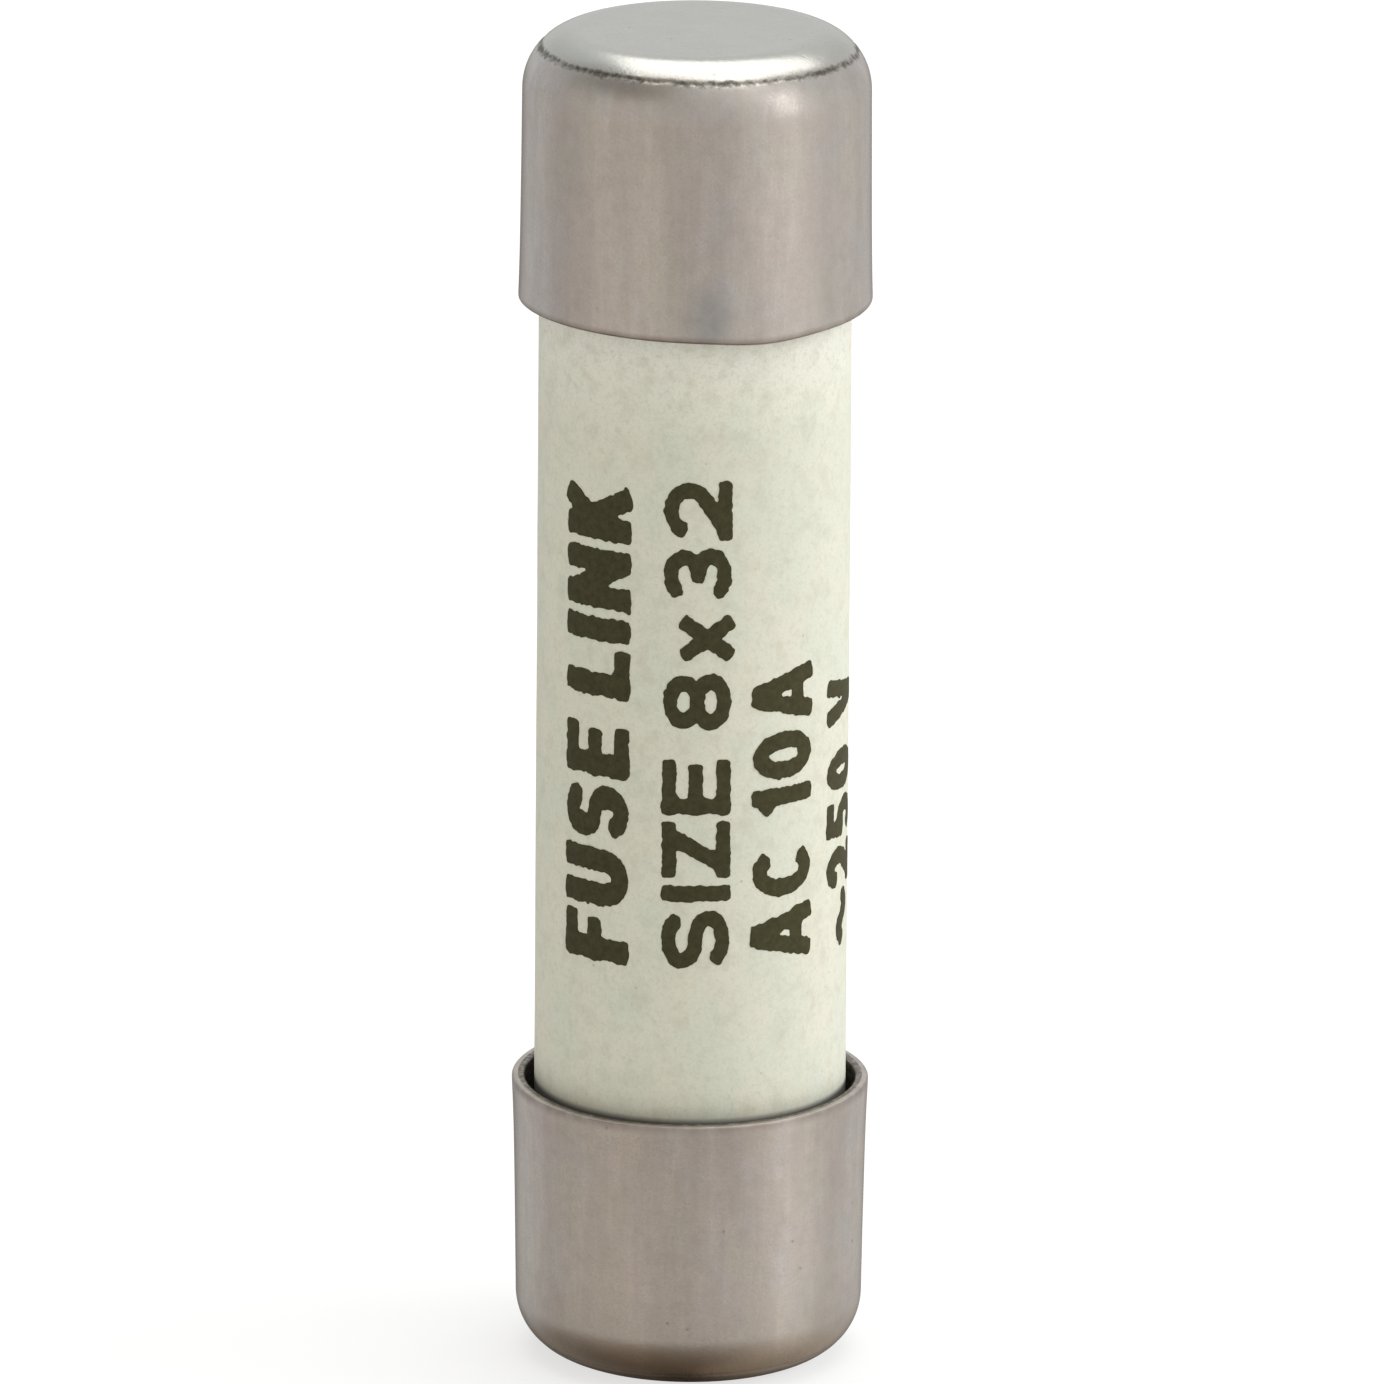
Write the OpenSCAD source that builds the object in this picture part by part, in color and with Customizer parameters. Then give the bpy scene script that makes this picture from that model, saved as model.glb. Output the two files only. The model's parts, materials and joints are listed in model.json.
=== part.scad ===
// Cylindrical cartridge fuse link, size 8 x 32, without striker.
// Origin: centre of the lower end face. +Z runs along the fuse to its upper end.
// All sizes are in millimetres.

/* [Contact caps] */
// Overall length over both contact caps
fuse_length = 32; // [31:0.1:33]
// Diameter of the straight contact barrel of each cap
contact_d = 8.3; // [8.2:0.05:8.6]
// Length of each contact cap, from its end face to its mouth
cap_length = 6.5; // [6:0.1:7.5]
// Thickness of the plated sheet that the contact caps are drawn from
cap_wall = 0.25; // [0.2:0.01:0.3]
// Outside radius between the end face and the barrel
cap_corner_r = 1.4; // [1.2:0.05:1.6]
// How far the mouth of a cap opens beyond the barrel, on the radius
mouth_flare = 0.05; // [0.02:0.01:0.15]
// Length over which the mouth opens
mouth_flare_length = 0.8; // [0.5:0.05:1.5]

/* [Inner caps] */
// Thickness of the sheet of the inner caps, which grip the tube inside the contact caps
inner_cap_wall = 0.2; // [0.12:0.01:0.25]
// Length of each inner cap
inner_cap_length = 4.2; // [3:0.1:5]
// Diameter of the hole in each inner cap that the sand is filled through
filling_hole_d = 2; // [1.5:0.1:2.4]

/* [Ceramic tube] */
// Bore of the steatite tube
tube_bore_d = 5; // [4:0.1:5.2]
// Chamfer on the inner edge of each tube end
tube_bore_chamfer = 0.2; // [0.1:0.05:0.3]

/* [Fuse element] */
// Diameter of the silver fuse wire
wire_d = 0.16; // [0.12:0.02:0.2]
// Radius at which the wire bends outwards at each end
wire_bend_r = 0.35; // [0.25:0.05:0.4]
// Reach of each bent wire end from the axis
wire_foot_length = 2; // [1.6:0.1:2.1]
// Diameter of the tin bead that melts through the wire on a lasting overload
bead_d = 0.8; // [0.6:0.05:1]

/* [Ends] */
// Thickness of the solder between each inner cap and contact cap
solder_t = 0.25; // [0.2:0.01:0.3]
// Diameter of the solder pool in each contact cap
solder_d = 5; // [4.4:0.1:5]
// Thickness of the fibre disc that closes each end of the bore
disc_t = 0.5; // [0.3:0.05:1]
// Diameter of the hole that passes the wire through a fibre disc
disc_hole_d = 0.3; // [0.28:0.02:0.6]

/* [Hidden] */
$fn = 96;

// Radii from the outside in: each inner cap fills the space between its contact cap and the tube.
contact_r = contact_d / 2;
inner_cap_r = contact_r - cap_wall;
tube_r = inner_cap_r - inner_cap_wall;
bore_r = tube_bore_d / 2;

// The three rounded corners share one centre height, so the tube seats in the inner cap,
// and the inner cap meets the contact cap only at the barrel.
inner_cap_corner_r = cap_corner_r - cap_wall - solder_t;
tube_corner_r = inner_cap_corner_r - inner_cap_wall;

// Heights of the stack at the lower end, measured from the lower end face.
solder_z = cap_wall;
inner_cap_z = solder_z + solder_t;
tube_z = inner_cap_z + inner_cap_wall;
sand_z = tube_z + disc_t;
middle_z = fuse_length / 2;

// The wire's foot lies in the solder against the inner cap, and its bend ends on the axis.
wire_foot_z = inner_cap_z - wire_d / 2;
wire_straight_z = wire_foot_z + wire_bend_r;

// Every cutting body runs this far past the solid that it cuts.
overrun = 1;

// ---- helpers -------------------------------------------------------------

// Turns a piece made at the lower end into its twin at the upper end.
module at_upper_end() {
    translate([0, 0, fuse_length])
        rotate([0, 180, 0])
            children();
}

// Half section of a cup's outside: closed end at y = 0, rounded corner, open end at y = length.
module cup_outline(r, corner_r, length) {
    square([r - corner_r, length]);
    translate([0, corner_r])
        square([r, length - corner_r]);
    translate([r - corner_r, corner_r])
        circle(r = corner_r);
}

// Half section of a cup pressed from sheet of one thickness.
module cup_section(r, corner_r, length, wall) {
    difference() {
        cup_outline(r, corner_r, length);
        translate([0, wall])
            cup_outline(r - wall, corner_r - wall, length + overrun);
    }
}

// ---- contact caps --------------------------------------------------------

// Half section of the mouth: the sheet opens as a cone and ends in a rounded lip.
module mouth_section() {
    lip_r = cap_wall / 2;
    lip_z = cap_length - lip_r;
    flare_z = cap_length - mouth_flare_length;
    mouth_r = contact_r + mouth_flare;
    polygon([
        [contact_r - cap_wall, flare_z],
        [contact_r, flare_z],
        [mouth_r, lip_z],
        [mouth_r - cap_wall, lip_z],
    ]);
    translate([mouth_r - lip_r, lip_z])
        circle(r = lip_r);
}

module contact_cap() {
    color([0.66, 0.62, 0.58])
        rotate_extrude() {
            cup_section(contact_r, cap_corner_r, cap_length - mouth_flare_length, cap_wall);
            mouth_section();
        }
}

module lower_contact_cap() {
    contact_cap();
}

module upper_contact_cap() {
    at_upper_end() contact_cap();
}

// ---- inner caps ----------------------------------------------------------

module inner_cap() {
    color([0.72, 0.58, 0.33])
        translate([0, 0, inner_cap_z])
            difference() {
                rotate_extrude()
                    cup_section(inner_cap_r, inner_cap_corner_r, inner_cap_length, inner_cap_wall);
                translate([0, 0, -overrun])
                    cylinder(d = filling_hole_d, h = inner_cap_wall + 2 * overrun);
            }
}

module lower_inner_cap() {
    inner_cap();
}

module upper_inner_cap() {
    at_upper_end() inner_cap();
}

// ---- ceramic tube --------------------------------------------------------

// Half section of the lower half of the tube, with its end at y = 0.
module half_tube_section() {
    half_length = middle_z - tube_z;
    difference() {
        cup_outline(tube_r, tube_corner_r, half_length);
        square([bore_r, half_length]);
        polygon([
            [bore_r, 0],
            [bore_r + tube_bore_chamfer, 0],
            [bore_r, tube_bore_chamfer],
        ]);
    }
}

module ceramic_tube() {
    color([0.85, 0.84, 0.76])
        translate([0, 0, tube_z])
            rotate_extrude() {
                half_tube_section();
                translate([0, 2 * (middle_z - tube_z)])
                    mirror([0, 1])
                        half_tube_section();
            }
}

// ---- fuse element --------------------------------------------------------

// One end of the wire: a quarter bend off the axis, then a straight foot towards +X.
module wire_end() {
    translate([wire_bend_r, 0, wire_straight_z])
        rotate([90, 0, 0])
            rotate([0, 0, 180])
                rotate_extrude(angle = 90)
                    translate([wire_bend_r, 0])
                        circle(d = wire_d);
    translate([wire_bend_r, 0, wire_foot_z])
        rotate([0, 90, 0])
            cylinder(d = wire_d, h = wire_foot_length - wire_bend_r);
}

module wire_shape() {
    translate([0, 0, wire_straight_z])
        cylinder(d = wire_d, h = fuse_length - 2 * wire_straight_z);
    wire_end();
    at_upper_end() wire_end();
}

module fuse_wire() {
    color([0.88, 0.87, 0.84])
        wire_shape();
}

module overload_bead() {
    color([0.70, 0.70, 0.71])
        translate([0, 0, middle_z])
            difference() {
                sphere(d = bead_d);
                cylinder(d = wire_d, h = bead_d + overrun, center = true);
            }
}

// ---- filling, discs and solder -------------------------------------------

module quartz_sand() {
    color([0.86, 0.80, 0.68])
        difference() {
            translate([0, 0, sand_z])
                cylinder(r = bore_r, h = fuse_length - 2 * sand_z);
            cylinder(d = wire_d, h = fuse_length);
            translate([0, 0, middle_z])
                sphere(d = bead_d);
        }
}

module sealing_disc() {
    color([0.55, 0.38, 0.26])
        translate([0, 0, tube_z])
            difference() {
                cylinder(r = bore_r, h = disc_t);
                translate([0, 0, -overrun])
                    cylinder(d = disc_hole_d, h = disc_t + 2 * overrun);
            }
}

module lower_sealing_disc() {
    sealing_disc();
}

module upper_sealing_disc() {
    at_upper_end() sealing_disc();
}

// A pool that joins the two caps, with a plug that fills the inner cap's hole around the wire.
module solder_joint() {
    color([0.74, 0.74, 0.75])
        difference() {
            union() {
                translate([0, 0, solder_z])
                    cylinder(d = solder_d, h = solder_t);
                translate([0, 0, inner_cap_z])
                    cylinder(d = filling_hole_d, h = inner_cap_wall);
            }
            wire_shape();
        }
}

module lower_solder_joint() {
    solder_joint();
}

module upper_solder_joint() {
    at_upper_end() solder_joint();
}

ceramic_tube();
upper_contact_cap();
lower_contact_cap();
upper_inner_cap();
lower_inner_cap();
upper_solder_joint();
lower_solder_joint();
upper_sealing_disc();
lower_sealing_disc();
fuse_wire();
overload_bead();
quartz_sand();
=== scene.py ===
"""Looks of a cylindrical cartridge fuse: plated contact caps, a ceramic tube and its printed marking.

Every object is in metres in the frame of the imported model: the origin is the centre of the lower
end face, +Z runs up the fuse, and -Y is the side with the marking.
"""

import json
import math

import bpy
import numpy as np
from mathutils import Euler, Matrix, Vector


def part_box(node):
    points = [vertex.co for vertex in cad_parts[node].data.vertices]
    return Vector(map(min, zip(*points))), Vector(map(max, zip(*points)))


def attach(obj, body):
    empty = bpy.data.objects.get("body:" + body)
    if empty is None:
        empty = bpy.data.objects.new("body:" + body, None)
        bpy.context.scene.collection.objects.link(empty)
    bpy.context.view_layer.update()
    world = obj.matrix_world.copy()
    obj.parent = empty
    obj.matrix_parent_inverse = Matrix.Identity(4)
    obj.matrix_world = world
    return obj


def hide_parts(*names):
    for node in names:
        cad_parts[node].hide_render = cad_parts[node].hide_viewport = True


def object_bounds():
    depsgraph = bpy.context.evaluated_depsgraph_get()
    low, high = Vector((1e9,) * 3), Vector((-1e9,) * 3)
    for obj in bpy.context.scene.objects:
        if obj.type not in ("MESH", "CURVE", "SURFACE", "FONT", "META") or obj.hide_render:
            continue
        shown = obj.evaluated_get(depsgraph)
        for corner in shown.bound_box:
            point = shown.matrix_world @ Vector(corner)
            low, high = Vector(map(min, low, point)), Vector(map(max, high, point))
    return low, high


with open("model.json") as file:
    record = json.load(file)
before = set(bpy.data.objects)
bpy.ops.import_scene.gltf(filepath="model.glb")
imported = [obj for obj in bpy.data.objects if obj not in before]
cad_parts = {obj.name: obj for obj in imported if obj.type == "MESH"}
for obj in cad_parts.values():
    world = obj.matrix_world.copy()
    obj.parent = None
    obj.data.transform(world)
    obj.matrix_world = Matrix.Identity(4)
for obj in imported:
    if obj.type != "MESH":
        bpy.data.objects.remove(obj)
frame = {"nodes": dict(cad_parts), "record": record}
cad_low, cad_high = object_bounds()

MM = 0.001
BODY = "root"

# ---- sizes, read from the frame -------------------------------------------

tube_low, tube_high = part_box("ceramic_tube")
cap_low, cap_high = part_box("lower_contact_cap")
inner_low, inner_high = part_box("lower_inner_cap")
disc_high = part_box("lower_sealing_disc")[1]
mounts = {m["name"]: m for m in frame["record"]["mounts"]}

LENGTH = cad_high.z - cad_low.z
TUBE_R = tube_high.x
TUBE_Z = tube_low.z
BORE_R = disc_high.x
CONTACT_R = mounts["lower_contact_barrel"]["dims"]["r_mm"] * MM
MOUTH_R = cap_high.x
CAP_LENGTH = cap_high.z - cap_low.z
INNER_CAP_Z = inner_low.z
INNER_R = inner_high.x
CAP_WALL = CONTACT_R - INNER_R
UPPER_RIM_Z = LENGTH - CAP_LENGTH

# The frame has no boxes for the roundings, so the first two repeat the CAD model's sizes.
TUBE_CORNER_R = 0.7 * MM
TUBE_CHAMFER = 0.2 * MM
CORNER_R = INNER_CAP_Z + (INNER_R - TUBE_R) + TUBE_CORNER_R

# ---- seeded noise ----------------------------------------------------------

rng = np.random.default_rng(832)


def blur(field, sigma):
    """Gaussian blur of a 2-D array. sigma is in cells."""
    reach = max(1, int(3 * sigma))
    offsets = np.arange(-reach, reach + 1)
    kernel = np.exp(-0.5 * (offsets / sigma) ** 2)
    kernel /= kernel.sum()

    def blur_row(row):
        return np.convolve(np.pad(row, reach, mode="edge"), kernel, "valid")

    for axis in (0, 1):
        field = np.apply_along_axis(blur_row, axis, field)
    return field


def ring_wave(angles, harmonics, size):
    """A smooth closed wave round the axis: random strengths on a few harmonics, largest value about size."""
    strengths = rng.normal(size=(2, len(harmonics)))
    wave = sum(a * np.cos(h * angles) + b * np.sin(h * angles)
               for h, a, b in zip(harmonics, *strengths))
    return size * wave / np.abs(wave).max()


def bell(distance, width):
    """1 where the distance is 0, falling smoothly to almost 0 at two widths."""
    return np.exp(-((distance / width) ** 2))


# ---- mesh helpers ----------------------------------------------------------


def make_object(name, vertices, faces, material, replaced=()):
    """Builds a smooth-shaded mesh piece that rides on the fuse's body."""
    mesh = bpy.data.meshes.new(name)
    mesh.from_pydata([tuple(v) for v in vertices], [], faces)
    mesh.validate()
    mesh.shade_smooth()
    mesh.materials.append(material)
    piece = bpy.data.objects.new(name, mesh)
    bpy.context.scene.collection.objects.link(piece)
    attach(piece, BODY)
    if replaced:
        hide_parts(*replaced)
    return piece


def arc(centre_r, centre_z, radius, start_deg, end_deg, count):
    """Points (r, z) of an arc in a half section, both ends included."""
    turns = np.radians(np.linspace(start_deg, end_deg, count))
    return [(centre_r + radius * math.cos(t), centre_z + radius * math.sin(t)) for t in turns]


def straight(start, end, count):
    """Points strictly between two points of a half section."""
    return [tuple(point) for point in np.linspace(start, end, count + 2)[1:-1]]


def ring_mesh(radius, height, angles):
    """Joins rings about the axis, closed at both ends by a point on the axis.

    radius and height have one row per ring and one column per angle.
    """
    count, segments = radius.shape
    x = radius * np.sin(angles)
    y = -radius * np.cos(angles)
    vertices = np.stack([x, y, height], axis=-1).reshape(-1, 3)
    vertices = np.vstack([vertices, (0, 0, height[0].mean()), (0, 0, height[-1].mean())])
    first = count * segments
    last = first + 1
    top = first - segments
    faces = []
    for j in range(segments):
        k = (j + 1) % segments
        faces += [(i * segments + j, i * segments + k, (i + 1) * segments + k, (i + 1) * segments + j)
                  for i in range(count - 1)]
        faces += [(first, k, j), (last, top + j, top + k)]
    return vertices, faces


def lathe(profile, segments):
    """Turns a closed half section of (r, z) points about the axis.

    Gives the rings of points, the faces and the rings' angles.
    """
    profile = np.array(profile, float)
    angles = np.linspace(0, 2 * math.pi, segments, endpoint=False)
    rings = np.empty((len(profile), segments, 3))
    rings[:, :, 0] = profile[:, 0:1] * np.sin(angles)
    rings[:, :, 1] = -profile[:, 0:1] * np.cos(angles)
    rings[:, :, 2] = profile[:, 1:2]
    faces = []
    for i in range(len(profile)):
        a, b = i * segments, ((i + 1) % len(profile)) * segments
        for j in range(segments):
            k = (j + 1) % segments
            faces.append((a + j, a + k, b + k, b + j))
    return rings, faces, angles


def add_attribute(piece, name, values):
    """Stores one number per vertex, for a material to read."""
    attribute = piece.data.attributes.new(name, "FLOAT", "POINT")
    attribute.data.foreach_set("value", np.asarray(values, np.float32))


# ---- material helpers ------------------------------------------------------


class Nodes:
    """A small builder for one material's node tree."""

    def __init__(self, name):
        self.material = bpy.data.materials.new(name)
        self.material.use_nodes = True
        self.tree = self.material.node_tree
        self.tree.nodes.clear()
        self.shader = self.tree.nodes.new("ShaderNodeBsdfPrincipled")
        output = self.tree.nodes.new("ShaderNodeOutputMaterial")
        self.tree.links.new(self.shader.outputs["BSDF"], output.inputs["Surface"])
        self.place = self.tree.nodes.new("ShaderNodeTexCoord").outputs["Object"]

    def put(self, value, socket):
        """Links a socket, or sets a plain value."""
        if isinstance(value, bpy.types.NodeSocket):
            self.tree.links.new(value, socket)
        else:
            socket.default_value = value

    def vector(self, operation, a, b=(0.0, 0.0, 0.0)):
        """Vector arithmetic. The result is a vector, except that LENGTH gives a number."""
        node = self.tree.nodes.new("ShaderNodeVectorMath")
        node.operation = operation
        self.put(a, node.inputs[0])
        self.put(b, node.inputs[1])
        return node.outputs["Value" if operation == "LENGTH" else "Vector"]

    def scaled(self, x, y, z):
        """The place on the object, stretched along each axis."""
        return self.vector("MULTIPLY", self.place, (x, y, z))

    def noise(self, size, detail, rough, along=1.0, shift=0.0):
        """Noise from 0 to 1 with features of the given size in metres, along times longer in Z.

        detail and rough are how many finer layers it has and how strong they are.
        Another shift gives another pattern.
        """
        node = self.tree.nodes.new("ShaderNodeTexNoise")
        node.noise_dimensions = "4D"
        node.inputs["W"].default_value = shift
        node.inputs["Scale"].default_value = 1.0
        node.inputs["Detail"].default_value = detail
        node.inputs["Roughness"].default_value = rough
        self.put(self.scaled(1 / size, 1 / size, 1 / (size * along)), node.inputs["Vector"])
        return node.outputs["Fac"]

    def spots(self, spacing):
        """Distance to scattered points, in units of their spacing."""
        node = self.tree.nodes.new("ShaderNodeTexVoronoi")
        node.voronoi_dimensions = "4D"
        node.inputs["Scale"].default_value = 1.0
        self.put(self.scaled(1 / spacing, 1 / spacing, 1 / spacing), node.inputs["Vector"])
        return node.outputs["Distance"]

    def height(self):
        """Height up the fuse, in metres."""
        node = self.tree.nodes.new("ShaderNodeSeparateXYZ")
        self.put(self.place, node.inputs[0])
        return node.outputs["Z"]

    def patch(self, centre, size):
        """1 at a place on the object, fading to 0 at the surface of an ellipsoid of that size round it."""
        offset = self.vector("SUBTRACT", self.place, centre)
        distance = self.vector("LENGTH", self.vector("DIVIDE", offset, size))
        return self.ramp(distance, 0.25, 1.0, 1.0, 0.0)

    def ramp(self, value, low, high, out_low=0.0, out_high=1.0):
        """Maps low..high to out_low..out_high and clamps it."""
        node = self.tree.nodes.new("ShaderNodeMapRange")
        self.put(value, node.inputs["Value"])
        for key, number in (("From Min", low), ("From Max", high), ("To Min", out_low), ("To Max", out_high)):
            node.inputs[key].default_value = number
        return node.outputs["Result"]

    def math(self, operation, a, b):
        """Arithmetic on numbers."""
        node = self.tree.nodes.new("ShaderNodeMath")
        node.operation = operation
        self.put(a, node.inputs[0])
        self.put(b, node.inputs[1])
        return node.outputs[0]

    def mix(self, factor, a, b):
        """Mixes two colours: a where the factor is 0, b where it is 1."""
        node = self.tree.nodes.new("ShaderNodeMix")
        node.data_type = "RGBA"
        self.put(factor, node.inputs[0])
        for value, socket in ((a, node.inputs[6]), (b, node.inputs[7])):
            self.put((*value, 1.0) if isinstance(value, tuple) else value, socket)
        return node.outputs[2]

    def attribute(self, name):
        """The number that the mesh stores under a name."""
        node = self.tree.nodes.new("ShaderNodeAttribute")
        node.attribute_name = name
        return node.outputs["Fac"]

    def bump(self, height, depth, strength, under=None):
        """A bump of the given depth in metres, on top of an earlier one."""
        node = self.tree.nodes.new("ShaderNodeBump")
        node.inputs["Strength"].default_value = strength
        node.inputs["Distance"].default_value = depth
        self.put(height, node.inputs["Height"])
        if under is not None:
            self.put(under, node.inputs["Normal"])
        return node.outputs["Normal"]

    def finish(self, color, roughness, normal, **fixed):
        """Connects the shader and returns the material. fixed gives further constants by socket name."""
        self.put(color, self.shader.inputs["Base Color"])
        self.put(roughness, self.shader.inputs["Roughness"])
        if normal is not None:
            self.put(normal, self.shader.inputs["Normal"])
        for key, value in fixed.items():
            self.shader.inputs[key.replace("_", " ")].default_value = value
        return self.material


# ---- materials -------------------------------------------------------------


def barrel_plating(n, streaks, blotch):
    """Colour of a cap's barrel: tarnish, drawing marks along the axis, one stain, and painted shade at the
    foot.
    """
    tarnish = n.ramp(n.noise(1.3 * MM, 3, 0.55, along=1.6), 0.40, 0.60)
    color = n.mix(tarnish, (0.68, 0.628, 0.602), (0.665, 0.635, 0.580))
    cool = n.ramp(n.noise(1.0 * MM, 2, 0.5, along=1.6, shift=11.0), 0.52, 0.66, 0.0, 0.7)
    color = n.mix(cool, color, (0.65, 0.642, 0.640))
    bands = n.ramp(n.noise(0.75 * MM, 2, 0.5, along=12, shift=5.0), 0.40, 0.60, 0.0, 0.36)
    color = n.mix(bands, color, (0.505, 0.460, 0.438))
    color = n.mix(n.ramp(blotch, 0.45, 0.70, 0.0, 0.38), color, (0.50, 0.465, 0.43))
    color = n.mix(n.ramp(streaks, 0.35, 0.70, 0.0, 0.22), color, (0.48, 0.435, 0.40))
    # one dull stain by the upper cap's rim
    stain = n.patch((0.3 * MM, -CONTACT_R, UPPER_RIM_Z + 0.6 * MM), (0.75 * MM, 2 * MM, 1.1 * MM))
    stain = n.math("MULTIPLY", stain, n.ramp(blotch, 0.30, 0.60, 0.35, 0.75))
    color = n.mix(stain, color, (0.40, 0.42, 0.43))
    # painted shade: darker towards the foot, standing in for the floor's contact shadow seen in the
    # reflection
    foot_shade = n.ramp(n.height(), 1.2 * MM, 2.6 * MM, 0.30, 0.0)
    return n.mix(foot_shade, color, (0.40, 0.36, 0.32))


def nickel_plate():
    """Satin nickel on drawn brass.

    The pressed end is smoother and greyer than the barrel. Both have a fine grain and pits. Painted shade
    darkens the crease round the corner, the cut lip's inner half and the mouth's inside, and the cut lip is
    duller.
    """
    n = Nodes("nickel_plate")
    streaks = n.noise(0.16 * MM, 4, 0.62, along=9)
    blotch = n.noise(0.42 * MM, 3, 0.55, shift=13.0)
    clouds = n.ramp(n.noise(0.9 * MM, 2, 0.5, shift=8.0), 0.35, 0.65)
    end = n.mix(clouds, (0.58, 0.575, 0.54), (0.555, 0.555, 0.52))
    polish = n.attribute("polish")
    color = n.mix(polish, barrel_plating(n, streaks, blotch), end)
    grain = n.noise(0.07 * MM, 3, 0.6)
    color = n.mix(n.ramp(grain, 0.48, 0.75, 0.0, 0.22), color, (0.36, 0.32, 0.29))
    pits = n.ramp(n.spots(0.40 * MM), 0.09, 0.16, 1.0, 0.0)
    pits = n.math("MULTIPLY", pits, n.ramp(n.noise(0.9 * MM, 1, 0.5, shift=3.0), 0.53, 0.61))
    color = n.mix(n.math("MULTIPLY", pits, 0.35), color, (0.20, 0.165, 0.14))
    lip = n.attribute("lip")
    dull = n.math("MULTIPLY", lip, n.ramp(blotch, 0.35, 0.6, 0.45, 0.85))
    color = n.mix(dull, color, (0.40, 0.35, 0.32))
    # painted shade: a near-black colour with a ragged edge in the crease, on the lip's inner half and inside
    # the mouth
    ragged_noise = n.noise(0.16 * MM, 4, 0.7, shift=6.0)
    ragged = n.math("ADD", n.attribute("painted_shade"), n.ramp(ragged_noise, 0.25, 0.75, -0.38, 0.38))
    painted_shade = n.ramp(ragged, 0.54, 1.00)
    color = n.mix(n.math("MULTIPLY", painted_shade, 0.88), color, (0.085, 0.080, 0.058))
    rough = n.math("ADD", n.ramp(streaks, 0.25, 0.75, 0.26, 0.32), n.ramp(grain, 0.3, 0.7, -0.03, 0.03))
    rough = n.math("SUBTRACT", rough, n.math("MULTIPLY", polish, 0.06))
    worn = n.math("MAXIMUM", n.math("MAXIMUM", pits, painted_shade), lip)
    rough = n.math("ADD", rough, n.math("MULTIPLY", worn, 0.16))
    normal = n.bump(streaks, 0.004 * MM, 0.6)
    normal = n.bump(ragged_noise, 0.012 * MM, 0.35, under=normal)
    normal = n.bump(grain, 0.0022 * MM, 0.7, under=normal)
    normal = n.bump(n.math("MULTIPLY", pits, -1.0), 0.006 * MM, 0.6, under=normal)
    return n.finish(color, rough, normal, Metallic=1.0)


def steatite():
    """Unglazed steatite: warm off-white with clouds, specks, pores and a fine fired grain.

    It is painted lighter just under the upper cap, against the shade that the cap casts, and a dark ring of
    painted shade lies where the tube enters the lower one.
    """
    n = Nodes("steatite")
    clouds = n.ramp(n.noise(1.2 * MM, 3, 0.55, along=1.5), 0.38, 0.62)
    color = n.mix(clouds, (0.682, 0.660, 0.540), (0.640, 0.652, 0.538))
    # painted light: the tube is lighter just under the upper cap, cancelling the shade the cap casts
    unshaded = n.ramp(n.height(), UPPER_RIM_Z - 2.6 * MM, UPPER_RIM_Z - 0.5 * MM, 0.0, 0.75)
    color = n.mix(unshaded, color, (0.80, 0.785, 0.68))
    smudge = n.ramp(n.noise(0.45 * MM, 4, 0.62, shift=5.0), 0.48, 0.74, 0.0, 0.50)
    color = n.mix(smudge, color, (0.49, 0.475, 0.365))
    mottle = n.ramp(n.noise(0.13 * MM, 3, 0.6, shift=7.0), 0.52, 0.70, 0.0, 0.42)
    color = n.mix(mottle, color, (0.50, 0.505, 0.41))
    grain = n.noise(0.06 * MM, 3, 0.65)
    color = n.mix(n.ramp(grain, 0.46, 0.72, 0.0, 0.30), color, (0.45, 0.44, 0.345))
    specks = n.ramp(n.spots(0.30 * MM), 0.07, 0.15, 1.0, 0.0)
    specks = n.math("MULTIPLY", specks, n.ramp(n.noise(0.7 * MM, 1, 0.5, shift=9.0), 0.46, 0.54))
    color = n.mix(n.math("MULTIPLY", specks, 0.42), color, (0.30, 0.28, 0.20))
    # painted shade: a near-black ring on the tube where it runs into the lower cap's mouth, standing in for
    # the shade in the gap
    ring_top = n.ramp(n.height(), CAP_LENGTH + 0.10 * MM, CAP_LENGTH + 0.24 * MM, 0.85, 0.0)
    ring_foot = n.ramp(n.height(), CAP_LENGTH - 1.0 * MM, CAP_LENGTH - 0.4 * MM)
    color = n.mix(n.math("MULTIPLY", ring_top, ring_foot), color, (0.085, 0.078, 0.085))
    rough = n.ramp(grain, 0.2, 0.8, 0.50, 0.66)
    normal = n.bump(n.noise(0.35 * MM, 3, 0.6, shift=2.0), 0.006 * MM, 0.5)
    normal = n.bump(grain, 0.004 * MM, 0.6, under=normal)
    normal = n.bump(n.math("MULTIPLY", specks, -1.0), 0.008 * MM, 0.7, under=normal)
    return n.finish(color, rough, normal)


def marking_ink():
    """Olive-black stamping ink, uneven where the ceramic has drunk it."""
    n = Nodes("marking_ink")
    soaked = n.ramp(n.noise(0.16 * MM, 3, 0.65), 0.35, 0.7)
    color = n.mix(soaked, (0.036, 0.033, 0.010), (0.058, 0.053, 0.020))
    grain = n.noise(0.05 * MM, 2, 0.6, shift=4.0)
    color = n.mix(n.ramp(grain, 0.58, 0.75, 0.0, 0.30), color, (0.12, 0.112, 0.055))
    rough = n.ramp(grain, 0.3, 0.7, 0.52, 0.66)
    normal = n.bump(grain, 0.003 * MM, 0.7)
    return n.finish(color, rough, normal, Specular_IOR_Level=0.25)


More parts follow.
